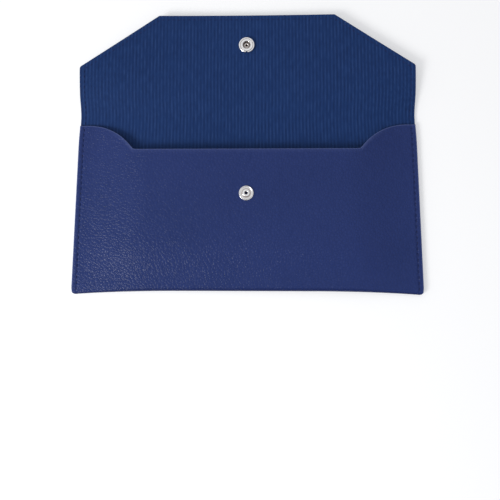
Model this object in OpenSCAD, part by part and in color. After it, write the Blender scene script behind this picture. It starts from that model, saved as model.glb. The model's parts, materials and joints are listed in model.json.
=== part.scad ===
// Envelope wallet: a puffed pocket with a flap that folds over it and closes with a press fastener.
// The rear face lies on the table at z = 0, the flap is open and reaches towards +Y.

/* [Pouch] */
// Width of the pouch across its side seams
pouch_w = 196; // [186:1:206]
// Height of the pouch, from the bottom fold to the fold line of the flap
pouch_h = 100; // [92:1:110]
// How far the middle of the pocket stands proud of the flat side seams
pocket_puff = 4.5; // [4.5:0.1:6]
// The same at the bottom fold
bottom_puff = 2.2; // [1:0.1:3]
// How far the middle of the bottom edge is drawn up by the puffed pocket
bottom_draw = 1.9; // [0:0.1:3]
// Distance from each bottom corner over which it is drawn up
draw_run = 60; // [40:1:80]
// Half the width over which the pocket has its full depth
crown_flat = 56; // [40:1:60]
// Distance over which the front rises from the bottom fold to its full depth
crown_rise = 26; // [20:1:34]
// How much the sides draw in at the fold line
waist_in = 0.4; // [0:0.1:1]
// Radius of the two bottom corners
corner_r = 2.5; // [1.5:0.1:4]

/* [Mouth] */
// Width of the straight part of the mouth
mouth_w = 130.5; // [120:0.5:136]
// Distance of the straight edge below the fold line
mouth_below = 18.5; // [17:0.5:22]
// Rise of the shoulder beside the straight edge
mouth_rise = 14.6; // [10:0.1:14.6]
// Radius of that shoulder
mouth_r = 34; // [30:1:36]

/* [Flap] */
// Width of the flap at its shoulders
flap_w = 197; // [197:0.5:200]
// Length of the flap from the fold line to its front edge
flap_len = 62.5; // [56:0.5:66]
// Length of the straight sides of the flap
flap_side = 31; // [24:0.5:34]
// Width of the front edge of the flap
tip_w = 104.5; // [90:0.5:120]
// Radius of the corners between the straight sides and the slanted edges
shoulder_r = 1.2; // [1:0.1:4]
// Radius of the corners of the front edge
tip_r = 2; // [1:0.5:4]
// How far the sides of the flap curl towards the pocket
flap_curl = 3; // [1:0.5:4]
// Angle between the open flap and the table
flap_tilt = 3.2; // [3.2:0.1:12]

/* [Sheets] */
// Thickness of the leather
leather_t = 0.8; // [0.7:0.05:0.9]
// Thickness of the lining cloth
lining_t = 0.3; // [0.2:0.05:0.35]
// Thickness of the glue between them
bond_t = 0.05; // [0.03:0.01:0.1]

/* [Stitching] */
// Distance of the stitch line from the edge
stitch_inset = 2.6; // [2.2:0.1:3]
// Distance from stitch to stitch
stitch_pitch = 3.15; // [2.8:0.05:4]
// Length of thread that shows between two needle holes
stitch_show = 2.4; // [1.8:0.1:2.6]
// Thickness of the needle thread
thread_d = 0.45; // [0.3:0.05:0.5]
// Thickness of the bobbin thread
bobbin_d = 0.28; // [0.2:0.02:0.3]

/* [Press fastener] */
// Distance of both halves from the fold line
snap_dist = 44; // [41:0.5:46]
// Diameter of the cap
cap_d = 10; // [9.6:0.1:11]
// Height of the domed cap
cap_h = 2.2; // [1.8:0.1:2.3]
// Diameter of the socket
socket_d = 9.4; // [9.2:0.1:10]
// Diameter of the stud
stud_d = 8.3; // [8.2:0.1:9]

/* [Hidden] */
$fn = 48;

leather_colour = [0.18, 0.22, 0.42];
lining_colour = [0.13, 0.21, 0.38];
thread_colour = [0.12, 0.15, 0.33];
nickel_colour = [0.82, 0.81, 0.79];
steel_colour = [0.6, 0.6, 0.62];

// Heights of the stacked sheets
panel_t = leather_t + bond_t + lining_t;
seam_gap = 0.2;
seam_t = 2 * panel_t + seam_gap;
pouch_t = seam_t + pocket_puff;
lining_z = leather_t + bond_t;

// Heights of the fastener, and the room that it needs between the closed flap and the pocket
socket_h = 1.7;
stud_rim_h = 0.55;
snap_play = 0.1;
bed = 0.05;
snap_room = bed + socket_h + snap_play + stud_rim_h + bed;

// The fold line: its axis lies midway between the rear panel and the closed flap
fold_y = pouch_h / 2;
axis_z = (panel_t + pouch_t + snap_room) / 2;
fold_half = 4;
waist_run = 16;
half_w = pouch_w / 2;
seam_margin = 1.4;
seam_x = half_w - stitch_inset - seam_margin;
snap_y = fold_y - snap_dist;

// Outline of the mouth: a straight edge between two round shoulders
lip_y = fold_y - mouth_below;
lip_top = lip_y + mouth_rise;
lip_turn = acos(1 - mouth_rise / mouth_r);
lip_arc_x = mouth_w / 2 + mouth_r * sin(lip_turn);
lip_steps = 6;
mouth_steps = 7;

// Steps of the grids that the soft sheets are worked out on
bend_steps = 6;
front_steps = 12;
strip_steps = 8;
flap_columns = 16;
flap_side_steps = 5;
slant_steps = 5;
corner_steps = 3;

function smooth(t) = let (c = min(max(t, 0), 1)) c * c * (3 - 2 * c);

// How far a round bottom corner cuts in at a height t above the bottom edge
function corner_in(t) = let (c = corner_r - min(max(t, 0), corner_r))
    corner_r - sqrt(pow(corner_r, 2) - pow(c, 2));

// Half width of the sheet at a distance s from the fold line, negative on the pouch and positive on the flap
function sheet_half(s) = s <= 0
    ? half_w - waist_in * smooth(1 + s / waist_run) - corner_in(s + pouch_h)
    : half_w - waist_in + (flap_w / 2 - half_w + waist_in) * smooth(s / waist_run);

// Share of the full depth that the pocket has at x
function puff(x) = 1 - smooth((abs(x) - crown_flat) / (seam_x - crown_flat));

// Outer radius of the bottom fold at x, how far its edge is drawn up there, and the line where the fold
// meets the panels
function bottom_r(x) = (seam_t + bottom_puff * puff(x)) / 2;
function drawn_up(x) = bottom_draw * (1 - pow(1 - min((half_w - abs(x)) / draw_run, 1), 2));
function bottom_line(x) = -pouch_h / 2 + drawn_up(x) + bottom_r(x);

// Height of the outer face of the front panel
function front_z(x, y) = seam_t + puff(x)
    * (bottom_puff + (pocket_puff - bottom_puff) * smooth((y - bottom_line(x)) / crown_rise));

// Upper edge of the front panel
function lip(x) = abs(x) <= mouth_w / 2
    ? lip_y
    : abs(x) >= lip_arc_x ? lip_top : lip_top - mouth_r + sqrt(pow(mouth_r, 2) - pow(lip_arc_x - abs(x), 2));

// Columns of the pouch grids, from seam to seam, with one at every turn of the mouth
half_columns = concat([for (i = [1 : mouth_steps]) mouth_w / 2 * i / mouth_steps],
                      [for (i = [1 : lip_steps]) lip_arc_x - mouth_r * sin(lip_turn * (1 - i / lip_steps))],
                      [(lip_arc_x + half_w) / 2, half_w]);
columns = concat([for (i = [len(half_columns) - 1 : -1 : 0]) -half_columns[i]], [0], half_columns);

// A point of the pouch at column x and height y, drawn in with the waist
function on_pouch(x, y, z) = [x * sheet_half(y - fold_y) / half_w, y, z];

// Rows of a sheet round the bottom fold and up the front, at a given depth under the outer face
function bend_rows(depth) = [for (i = [0 : bend_steps]) let (a = 180 * i / bend_steps - 90)
    [for (x = columns) let (r = bottom_r(x))
        on_pouch(x, bottom_line(x) - (r - depth) * cos(a), r + (r - depth) * sin(a))]];
function front_rows(depth) = [for (i = [0 : front_steps])
    [for (x = columns) let (y = bottom_line(x) + (lip(x) - bottom_line(x)) * i / front_steps)
        on_pouch(x, y, front_z(x, y) - depth)]];

// Outline of the flap on its right side: straight side, round shoulder, slanted edge, round tip corner
slant = atan2(flap_w / 2 - tip_w / 2, flap_len - flap_side);
slant_reach = flap_w / 2 * cos(slant) + flap_side * sin(slant);
shoulder_d = flap_side - shoulder_r * tan(slant / 2);
shoulder_x = flap_w / 2 - shoulder_r;
tip_d = flap_len - tip_r;
tip_x = (slant_reach - tip_r - tip_d * sin(slant)) / cos(slant);
slant_from = [shoulder_x + shoulder_r * cos(slant), shoulder_d + shoulder_r * sin(slant)];
slant_to = [tip_x + tip_r * cos(slant), tip_d + tip_r * sin(slant)];
flap_edge = concat(
    [for (i = [0 : flap_side_steps - 1]) let (d = fold_half + (shoulder_d - fold_half) * i / flap_side_steps)
        [sheet_half(d), d]],
    [for (i = [0 : corner_steps]) let (a = slant * i / corner_steps)
        [shoulder_x + shoulder_r * cos(a), shoulder_d + shoulder_r * sin(a)]],
    [for (i = [1 : slant_steps - 1]) slant_from + (slant_to - slant_from) * i / slant_steps],
    [for (i = [0 : corner_steps]) let (a = slant + (90 - slant) * i / corner_steps)
        [tip_x + tip_r * cos(a), tip_d + tip_r * sin(a)]]);

// Curl of the flap at a point of its sheet, nothing at the fold and most at the shoulders
function curl(x, d) = flap_curl * pow(2 * x / flap_w, 2) * smooth((d - fold_half) / (flap_side - fold_half));
function flap_rows(z) = [for (e = flap_edge)
    [for (i = [-flap_columns / 2 : flap_columns / 2]) let (x = e[0] * 2 * i / flap_columns)
        [x, e[1], z + curl(x, e[1])]]];

// Rows of the strip that bends at the fold line: flat up to the line, then each row turns a little further
function strip_rows(z) = [for (i = [0 : strip_steps])
    let (s = fold_half * (2 * i / strip_steps - 1), a = flap_tilt * smooth(s / fold_half), arm = axis_z - z)
    [for (side = [-1, 1]) [side * sheet_half(s), fold_y + s * cos(a) + arm * sin(a),
                           axis_z + s * sin(a) - arm * cos(a)]]];

// Solid between two grids of points. Seen from the side of the first grid, its columns run to the right
// and its rows upwards.
module sheet(first, second) {
    rows = len(first);
    cols = len(first[0]);
    a = function (r, c) r * cols + c;
    b = function (r, c) rows * cols + r * cols + c;
    points = [for (grid = [first, second]) for (row = grid) for (p = row) p];
    faces = [for (r = [0 : rows - 2]) for (c = [0 : cols - 2]) for (f = [
        [a(r, c), a(r + 1, c), a(r + 1, c + 1)],
        [a(r, c), a(r + 1, c + 1), a(r, c + 1)],
        [b(r, c), b(r + 1, c + 1), b(r + 1, c)],
        [b(r, c), b(r, c + 1), b(r + 1, c + 1)]]) f];
    ends = [for (c = [0 : cols - 2]) let (t = rows - 1) for (f = [
        [a(0, c), a(0, c + 1), b(0, c + 1)],
        [a(0, c), b(0, c + 1), b(0, c)],
        [a(t, c + 1), a(t, c), b(t, c)],
        [a(t, c + 1), b(t, c), b(t, c + 1)]]) f];
    sides = [for (r = [0 : rows - 2]) let (t = cols - 1) for (f = [
        [a(r + 1, 0), a(r, 0), b(r, 0)],
        [a(r + 1, 0), b(r, 0), b(r + 1, 0)],
        [a(r, t), a(r + 1, t), b(r + 1, t)],
        [a(r, t), b(r + 1, t), b(r, t)]]) f];
    polyhedron(points, concat(faces, ends, sides));
}

// Places what is drawn on the flat, unfolded flap, with the fold line at y = 0
module on_flap() {
    translate([0, fold_y, axis_z])
        rotate([flap_tilt, 0, 0])
            translate([0, 0, -axis_z])
                children();
}

function reversed(list) = [for (i = [len(list) - 1 : -1 : 0]) list[i]];

// Outline of the rear panel, from the bottom fold to the strip at the fold line
corner_from = bottom_line(half_w) + pouch_h / 2;
rear_side = [for (s = concat(
        [for (i = [1 : corner_steps]) -pouch_h + corner_from + (corner_r - corner_from) * i / corner_steps],
        [for (i = [0 : strip_steps]) -waist_run + (waist_run - fold_half) * i / strip_steps]))
    [sheet_half(s), fold_y + s]];
rear_outline = concat([for (x = columns) let (p = on_pouch(x, bottom_line(x), 0)) [p[0], p[1]]], rear_side,
                      [for (p = reversed(rear_side)) [-p[0], p[1]]]);

// Rivet holes
post_r = 1.2;
post_hole_r = 1.3;
module post_hole() {
    translate([0, 0, -pouch_t])
        cylinder(r = post_hole_r, h = 3 * pouch_t);
}

// Grooves in the rear face that the bobbin threads of the side seams lie in
seam_end_gap = 0.35;
seam_top_gap = 1;
seam_from = bottom_line(half_w) + seam_end_gap;
seam_to = lip_top - seam_top_gap;
groove_w = 0.7;
groove_deep = 0.35;
stitch_x = half_w - stitch_inset;

// Shallow slope that eases the lower edge of the cut right side, where it lies on the table
ease_w = 0.8;
ease_h = 0.25;
module eased_edge() {
    inner_x = half_w - 2 * ease_w;
    outer_x = half_w + ease_w;
    rotate([90, 0, 0])
        linear_extrude(2 * pouch_h, center = true)
            polygon([[inner_x, -ease_h], [outer_x, -ease_h], [outer_x, 2 * ease_h]]);
}

module rear_panel() {
    color(leather_colour)
        difference() {
            linear_extrude(leather_t)
                polygon(rear_outline);
            for (side = [-1, 1])
                translate([side * stitch_x - groove_w / 2, seam_from, -groove_deep])
                    cube([groove_w, seam_to - seam_from, 2 * groove_deep]);
            eased_edge();
            mirror([1, 0, 0])
                eased_edge();
        }
}

module bottom_fold() {
    color(leather_colour)
        sheet(bend_rows(0), bend_rows(leather_t));
}

module front_panel() {
    color(leather_colour)
        difference() {
            sheet(front_rows(0), front_rows(leather_t));
            translate([0, snap_y, 0])
                post_hole();
        }
}

module rear_lining() {
    color(lining_colour)
        translate([0, 0, lining_z])
            linear_extrude(lining_t)
                polygon(rear_outline);
}

// The cloth turns up inside the bottom fold and lines the front
module front_lining() {
    below = function (depth) [for (i = [0 : bend_steps - 1]) bend_rows(depth)[i]];
    color(lining_colour)
        difference() {
            sheet(concat(below(lining_z), front_rows(lining_z)), concat(below(panel_t), front_rows(panel_t)));
            translate([0, snap_y, 0])
                post_hole();
        }
}

module fold_leather() {
    color(leather_colour)
        sheet(strip_rows(leather_t), strip_rows(0));
}

module fold_lining() {
    color(lining_colour)
        sheet(strip_rows(panel_t), strip_rows(lining_z));
}

module flap_sheet(top, under) {
    on_flap()
        difference() {
            sheet(flap_rows(top), flap_rows(under));
            translate([0, snap_dist, 0])
                post_hole();
        }
}

module flap_panel() {
    color(leather_colour)
        flap_sheet(leather_t, 0);
}

module flap_lining() {
    color(lining_colour)
        flap_sheet(panel_t, lining_z);
}

// Ends of the stitches in a row from p to q on a plane, lifted on to a surface by the function place
function stitch_ends(p, q, place) =
    let (count = round(norm(q - p) / stitch_pitch), gap = (1 - stitch_show / stitch_pitch) / 2)
    [for (i = [0 : count - 1]) [for (t = [i + gap, i + 1 - gap]) place(p + (q - p) * t / count)]];

// Points of one stitch: its two ends, and a ring of thread near each of them
thread_sides = 5;
function stitch_points(p, q, d) =
    let (u = (q - p) / norm(q - p), v = cross(u, [0, 0, 1]) / norm(cross(u, [0, 0, 1])), w = cross(u, v))
    concat([p], [for (c = [p + u * d / 2, q - u * d / 2]) for (i = [0 : thread_sides - 1])
        let (a = 360 * i / thread_sides) c + d / 2 * (cos(a) * v + sin(a) * w)], [q]);

// Faces of one stitch whose points start at k
function stitch_faces(k) = [for (i = [0 : thread_sides - 1])
    let (j = (i + 1) % thread_sides, near = k + 1, far = near + thread_sides, tip = far + thread_sides)
    for (f = [[k, near + i, near + j], [tip, far + j, far + i],
              [near + i, far + i, far + j], [near + i, far + j, near + j]]) f];

// All the stitches of one thread
module stitches(ends, d) {
    size = 2 + 2 * thread_sides;
    polyhedron([for (e = ends) for (p = stitch_points(e[0], e[1], d)) p],
               [for (k = [0 : len(ends) - 1]) for (f = stitch_faces(k * size)) f]);
}

// Clearance that keeps a thread just off the sheet it lies on
thread_off = 0.02;

module seam_thread(side) {
    z = seam_t + thread_d / 2 + thread_off;
    x = side * stitch_x;
    color(thread_colour)
        stitches(stitch_ends([x, seam_from], [x, seam_to], function (p) on_pouch(p[0], p[1], z)), thread_d);
}

module seam_bobbin(side) {
    z = bobbin_d / 2 + thread_off;
    x = side * stitch_x;
    color(thread_colour)
        stitches(stitch_ends([x, seam_from], [x, seam_to], function (p) [p[0], p[1], z]), bobbin_d);
}

module left_seam_thread() {
    seam_thread(-1);
}

module right_seam_thread() {
    seam_thread(1);
}

module left_seam_bobbin() {
    seam_bobbin(-1);
}

module right_seam_bobbin() {
    seam_bobbin(1);
}

// Corners of the stitch line round the flap, set in from its edges
flap_stitch_from = 9;
inset_reach = slant_reach - stitch_inset;
flap_stitch_x = flap_w / 2 - stitch_inset;
flap_stitch_d = (inset_reach - flap_stitch_x * cos(slant)) / sin(slant);
tip_stitch_d = flap_len - stitch_inset;
tip_stitch_x = (inset_reach - tip_stitch_d * sin(slant)) / cos(slant);
flap_stitch_path = [[-flap_stitch_x, flap_stitch_from], [-flap_stitch_x, flap_stitch_d],
                    [-tip_stitch_x, tip_stitch_d], [tip_stitch_x, tip_stitch_d],
                    [flap_stitch_x, flap_stitch_d], [flap_stitch_x, flap_stitch_from]];

// Stitches round the flap on the face at height z of the flat sheet
module flap_stitches(d, z) {
    place = function (p) [p[0], p[1], z + curl(p[0], p[1])];
    color(thread_colour)
        on_flap()
            stitches([for (i = [0 : len(flap_stitch_path) - 2])
                for (e = stitch_ends(flap_stitch_path[i], flap_stitch_path[i + 1], place)) e], d);
}

// The facets of the curled flap lie up to this much inside its true curve
facet_room = 0.05;

module flap_thread() {
    flap_stitches(thread_d, -thread_d / 2 - thread_off);
}

module flap_bobbin() {
    flap_stitches(bobbin_d, panel_t + bobbin_d / 2 + facet_room);
}

// Points of an arc round c, from one angle to another
function arc(c, r, from, to, n = 3) = [for (i = [0 : n]) let (a = from + (to - from) * i / n)
    c + r * [cos(a), sin(a)]];

// Cap: a thin dome with a rolled rim
metal_t = 0.35;
cap_wall = 0.45;
cap_roll = 0.12;
cap_rim_h = 0.35;
cap_rim_in = 0.15;
dome_steps = 10;
dome_foot = cap_d / 2 - cap_rim_in;
dome_rise = cap_h - cap_rim_h;
dome_r = (pow(dome_foot, 2) + pow(dome_rise, 2)) / (2 * dome_rise);
dome_z = cap_h - dome_r;
function dome(r, foot) = [for (i = [0 : dome_steps]) let (a = asin(foot / r) * (1 - i / dome_steps))
    [r * sin(a), dome_z + r * cos(a)]];
cap_profile = concat([[dome_foot - cap_wall, 0]], arc([cap_d / 2 - cap_roll, cap_roll], cap_roll, -90, 90),
                     dome(dome_r, dome_foot), reversed(dome(dome_r - metal_t, dome_foot - cap_wall)));

// Turns a fastener part to the leather side of the flap, where its own upward axis points down
module on_flap_outside() {
    on_flap()
        translate([0, snap_dist, -bed])
            mirror([0, 0, 1])
                children();
}

module snap_cap() {
    color(nickel_colour)
        on_flap_outside()
            rotate_extrude()
                polygon(cap_profile);
}

// Hollow rivet: a disc held in the cap, a tube through flap and socket, and a flared end
socket_floor = 0.25;
rivet_bore = 0.8;
flare_r = 1.9;
flare_t = 0.17;
flare_gap = 0.03;
disc_r = 3.9;
disc_z = 0.04;
disc_t = 0.26;
flare_z = -(2 * bed + panel_t + socket_floor + flare_gap);

module cap_post() {
    color(nickel_colour)
        on_flap_outside()
            rotate_extrude()
                polygon([[0, disc_z + disc_t], [disc_r, disc_z + disc_t], [disc_r, disc_z], [post_r, disc_z],
                         [post_r, flare_z], [flare_r, flare_z], [flare_r, flare_z - flare_t],
                         [rivet_bore, flare_z - flare_t], [rivet_bore, disc_z], [0, disc_z]]);
}

// Drawn cup with a ring groove in its face, a chamber for the ring spring and a round mouth for the knob
mouth_hole_r = 2.3;
mouth_lip_r = 0.2;
chamber_r = 3.4;
chamber_top = 1.25;
socket_r = socket_d / 2;
socket_foot_r = 0.2;
socket_edge_r = 0.5;
ring_groove_r = 3.85;
ring_groove_deep = 0.12;
socket_z = panel_t + bed;
socket_profile = concat(
    [[post_hole_r, 0]],
    arc([socket_r - socket_foot_r, socket_foot_r], socket_foot_r, -90, 0),
    arc([socket_r - socket_edge_r, socket_h - socket_edge_r], socket_edge_r, 0, 90),
    [[ring_groove_r + ring_groove_deep, socket_h], [ring_groove_r, socket_h - ring_groove_deep],
     [ring_groove_r - ring_groove_deep, socket_h]],
    arc([mouth_hole_r + mouth_lip_r, socket_h - mouth_lip_r], mouth_lip_r, 90, 180),
    [[mouth_hole_r, chamber_top], [chamber_r, chamber_top], [chamber_r, socket_floor],
     [post_hole_r, socket_floor]]);

module on_flap_inside() {
    on_flap()
        translate([0, snap_dist, socket_z])
            children();
}

module snap_socket() {
    color(nickel_colour)
        on_flap_inside()
            rotate_extrude()
                polygon(socket_profile);
}

// Split ring of spring wire that grips the knob under its head
spring_r = 2.2;
spring_wire = 0.4;
spring_z = 1;
spring_turn = 310;

module socket_spring() {
    color(steel_colour)
        on_flap_inside()
            translate([0, 0, spring_z])
                rotate([0, 0, 270 + (360 - spring_turn) / 2])
                    rotate_extrude(angle = spring_turn)
                        translate([spring_r, 0])
                            circle(d = spring_wire);
}

// Stud: a rolled rim, a dished flange and a hollow knob with a head
stud_r = stud_d / 2;
rim_roll = stud_rim_h / 2;
rim_turn = 140;
dish_in = 0.9;
dish_h = 0.3;
neck_r = 1.85;
neck_foot_r = 0.3;
neck_top = 1.25;
head_r = 2.1;
head_edge_r = 0.25;
knob_h = 1.8;
knob_hole_r = 0.95;
knob_lip_r = 0.2;
bore_top = 1.15;
bore_cone = 0.15;
stud_profile = concat(
    [[post_hole_r, 0]],
    arc([stud_r - rim_roll, rim_roll], rim_roll, -90, rim_turn, 8),
    [[stud_r - dish_in, dish_h]],
    arc([neck_r + neck_foot_r, dish_h + neck_foot_r], neck_foot_r, 270, 180),
    [[neck_r, neck_top]],
    arc([head_r - head_edge_r, knob_h - head_edge_r], head_edge_r, 0, 90),
    arc([knob_hole_r + knob_lip_r, knob_h - knob_lip_r], knob_lip_r, 90, 180),
    [[knob_hole_r, bore_top + bore_cone], [post_hole_r, bore_top]]);

module on_front() {
    translate([0, snap_y, pouch_t])
        children();
}

module snap_stud() {
    color(nickel_colour)
        on_front()
            translate([0, 0, bed])
                rotate_extrude()
                    polygon(stud_profile);
}

// Eyelet that comes through the front from inside the pocket and holds the stud
eyelet_r = 3.3;
eyelet_t = 0.35;
eyelet_edge_r = 0.15;
eyelet_reach = 1;
eyelet_z = -panel_t - bed;
eyelet_profile = concat(
    [[rivet_bore, eyelet_z - eyelet_t]],
    arc([eyelet_r - eyelet_edge_r, eyelet_z - eyelet_t + eyelet_edge_r], eyelet_edge_r, -90, 0),
    [[eyelet_r, eyelet_z], [post_r, eyelet_z], [post_r, eyelet_reach], [rivet_bore, eyelet_reach]]);

module stud_post() {
    color(nickel_colour)
        on_front()
            rotate_extrude()
                polygon(eyelet_profile);
}

rear_panel();
bottom_fold();
front_panel();
rear_lining();
front_lining();
fold_leather();
fold_lining();
flap_panel();
flap_lining();
left_seam_thread();
right_seam_thread();
left_seam_bobbin();
right_seam_bobbin();
flap_thread();
flap_bobbin();
snap_cap();
cap_post();
snap_socket();
socket_spring();
snap_stud();
stud_post();
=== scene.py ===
# %% [markdown]
# # An envelope wallet in navy leather
# The real wallet is one long strip of soft leather, glued to a ribbed lining cloth. The strip is folded
# up at the bottom to make a pocket, sewn along both sides, and folded over at the top to make a flap that
# a press fastener holds shut. The measured solids give every size, so this lesson loads them first and
# then dresses them piece by piece.

# %% Load the measured solids
import json
import math

import bmesh
import bpy
import numpy as np
from mathutils import Matrix, Vector


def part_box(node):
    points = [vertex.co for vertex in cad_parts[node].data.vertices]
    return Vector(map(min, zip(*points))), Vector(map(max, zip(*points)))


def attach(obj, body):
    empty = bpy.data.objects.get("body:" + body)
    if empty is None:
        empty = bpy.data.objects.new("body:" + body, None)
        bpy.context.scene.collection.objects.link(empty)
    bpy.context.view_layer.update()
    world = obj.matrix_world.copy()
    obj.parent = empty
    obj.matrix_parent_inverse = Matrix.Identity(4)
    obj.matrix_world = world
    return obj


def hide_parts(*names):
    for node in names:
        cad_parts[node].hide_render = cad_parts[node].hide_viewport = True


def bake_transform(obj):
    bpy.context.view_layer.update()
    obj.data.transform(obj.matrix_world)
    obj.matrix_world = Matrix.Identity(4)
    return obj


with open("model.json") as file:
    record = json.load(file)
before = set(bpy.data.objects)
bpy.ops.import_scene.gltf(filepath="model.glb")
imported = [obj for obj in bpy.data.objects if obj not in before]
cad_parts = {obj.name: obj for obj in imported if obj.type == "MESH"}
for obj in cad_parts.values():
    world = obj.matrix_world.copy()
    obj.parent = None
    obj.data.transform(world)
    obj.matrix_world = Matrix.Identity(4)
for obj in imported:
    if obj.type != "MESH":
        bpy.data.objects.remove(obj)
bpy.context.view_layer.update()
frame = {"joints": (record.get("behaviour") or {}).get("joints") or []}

# %% [markdown]
# ## Sizes
# A pattern cutter starts from a few measures. The width, the fold line and the flap's tilt are read from
# the solids, and the smaller ones are written down in millimetres, so a change of one measure moves
# everything that hangs on it.

# %% Pattern measures
mm = 0.001
fold_joint = frame["joints"][0]
fold_y, axis_z = fold_joint["pos_m"][1], fold_joint["pos_m"][2]
flap_tilt = math.pi - math.radians(fold_joint["range_deg"][1])
half_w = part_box("rear_panel")[1].x
flap_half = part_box("flap_panel")[1].x
pouch_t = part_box("front_panel")[1].z
pouch_h = fold_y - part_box("bottom_fold")[0].y
waist_in, waist_run, corner_r = 0.4 * mm, 16 * mm, 2.5 * mm
leather_t, lining_t, bond_t, seam_gap = 0.8 * mm, 0.3 * mm, 0.05 * mm, 0.2 * mm
lining_z = leather_t + bond_t
panel_t = lining_z + lining_t
seam_t = 2 * panel_t + seam_gap
print(f"pouch {2000 * half_w:.1f} by {1000 * pouch_h:.1f} mm, {1000 * pouch_t:.1f} mm thick")
print(f"open flap tilted by {math.degrees(flap_tilt):.1f} degrees")

# %% [markdown]
# ## The pocket's shape
# Banknotes puff the front of the pocket out in the middle, while the sewn sides and the bottom fold hold
# it down. Sculpting could give such a shape, but a formula keeps it smooth and repeatable: a smooth step
# rises from the seams to a flat crown, and another one from the bottom fold upwards.

# %% Formulas of the pocket
crown_flat, crown_rise, seam_margin = 56 * mm, 26 * mm, 4 * mm
bottom_puff, bottom_draw, draw_run = 2.2 * mm, 1.9 * mm, 60 * mm
pocket_puff = pouch_t - seam_t
mouth_w, mouth_below, mouth_rise, mouth_r = 130.5 * mm, 18.5 * mm, 14.6 * mm, 34 * mm
lip_soft = 1.2 * mm
lip_y = fold_y - mouth_below
lip_top = lip_y + mouth_rise
lip_arc_x = mouth_w / 2 + math.sqrt(mouth_r ** 2 - (mouth_r - mouth_rise) ** 2)


def smooth(t):
    """Smooth step from 0 at t = 0 to 1 at t = 1."""
    t = np.clip(t, 0, 1)
    return t * t * (3 - 2 * t)


def half_width(s):
    """Half the sheet's width at a distance s from the fold line, negative on the pouch: drawn in a little
    beside the fold and rounded off at the bottom corners."""
    corner = corner_r - np.clip(s + pouch_h, 0, corner_r)
    rounded = corner_r - np.sqrt(corner_r ** 2 - corner ** 2)
    pouch = half_w - waist_in * smooth(1 + s / waist_run) - rounded
    flap = half_w - waist_in + (flap_half - half_w + waist_in) * smooth(s / waist_run)
    return np.where(s <= 0, pouch, flap)


def puff(x):
    """Share of the full depth at x: 1 over the flat crown, falling by a smooth step to 0 at the seam."""
    return 1 - smooth((np.abs(x) - crown_flat) / (half_w - seam_margin - crown_flat))


def bottom_radius(x):
    """Radius of the bottom fold, half the pocket's thickness there."""
    return (seam_t + bottom_puff * puff(x)) / 2


def bottom_line(x):
    """Height y where the bottom fold meets the panels, drawn up by the puff along a parabola."""
    drawn_up = bottom_draw * (1 - (1 - np.clip((half_w - np.abs(x)) / draw_run, 0, 1)) ** 2)
    return fold_y - pouch_h + drawn_up + bottom_radius(x)


def lip(x):
    """Upper edge of the front: straight in the middle, then a round shoulder up to the seams. A root of
    squares rounds the corner where they meet."""
    side = np.clip(lip_arc_x - np.abs(x), 0, mouth_r)
    above = mouth_rise - mouth_r + np.sqrt(mouth_r ** 2 - side ** 2)
    return lip_y + (above + np.sqrt(above ** 2 + lip_soft ** 2)) / 2


def front_z(x, y):
    """Height of the front's outer face: the seam's thickness and the puff, which grows upwards."""
    rise = smooth((y - bottom_line(x)) / crown_rise)
    return seam_t + puff(x) * (bottom_puff + (pocket_puff - bottom_puff) * rise)


print(f"mouth edge at y = {1000 * lip_y:.1f} mm, shoulders at {1000 * lip_top:.1f} mm")

# %% [markdown]
# ## The flap's outline
# The flap has straight sides, slanted edges and a straight front edge, with round corners between them. A
# column of the sheet at x simply ends where it meets that outline, so one function gives the flap's reach
# over its width.

# %% Formulas of the flap
flap_len, flap_side, tip_half = 62.5 * mm, 31 * mm, 52.25 * mm
shoulder_r, tip_r, flap_curl, fold_half = 1.2 * mm, 2 * mm, 3 * mm, 4 * mm
slant = math.atan2(flap_half - tip_half, flap_len - flap_side)
slant_reach = flap_half * math.cos(slant) + flap_side * math.sin(slant)
shoulder_x, shoulder_d = flap_half - shoulder_r, flap_side - shoulder_r * math.tan(slant / 2)
tip_d = flap_len - tip_r
tip_x = (slant_reach - tip_r - tip_d * math.sin(slant)) / math.cos(slant)


def flap_reach(x):
    """Reach of the flap at x: front edge, tip corner, slanted edge and shoulder, from the middle out."""
    ax = np.abs(x)
    tip_arc = tip_d + np.sqrt(np.maximum(tip_r ** 2 - (ax - tip_x) ** 2, 0))
    slanted = (slant_reach - ax * math.cos(slant)) / math.sin(slant)
    shoulder_arc = shoulder_d + np.sqrt(np.maximum(shoulder_r ** 2 - (ax - shoulder_x) ** 2, 0))
    ends = [tip_x, tip_x + tip_r * math.cos(slant), shoulder_x + shoulder_r * math.cos(slant)]
    return np.select([ax <= end for end in ends], [flap_len, tip_arc, slanted], shoulder_arc)


def flap_inset(x, d):
    """Distance of a flap point from the nearest of the side, the slanted edge and the front edge."""
    slanted = slant_reach - np.abs(x) * math.cos(slant) - d * math.sin(slant)
    return np.minimum.reduce([half_width(d) - np.abs(x), slanted, flap_len - d])


def flap_edge_gap(x, d):
    """The same distance measured to the round corners, where a point is nearest to an arc."""
    gap = flap_inset(x, d)
    for cx, cd, r, low, high in ((shoulder_x, shoulder_d, shoulder_r, 0, slant),
                                 (tip_x, tip_d, tip_r, slant, math.pi / 2)):
        turn = np.arctan2(d - cd, np.abs(x) - cx)
        gap = np.where((turn > low) & (turn < high), r - np.hypot(np.abs(x) - cx, d - cd), gap)
    return gap


print(f"slanted edges turn by {math.degrees(slant):.1f} degrees, flap {1000 * flap_len:.0f} mm long")

# %% [markdown]
# ## One sheet, folded
# Leather and lining follow the same folded path, at different depths under the outer face. So one
# function places a point of the strip: x runs from seam to seam, run counts down the front, round the
# bottom fold, up the rear, across the fold line and out along the flap, and depth goes inwards. A
# modelled flat strip could be bent with modifiers, but then its edges would not land on the measured
# outline.

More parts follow.
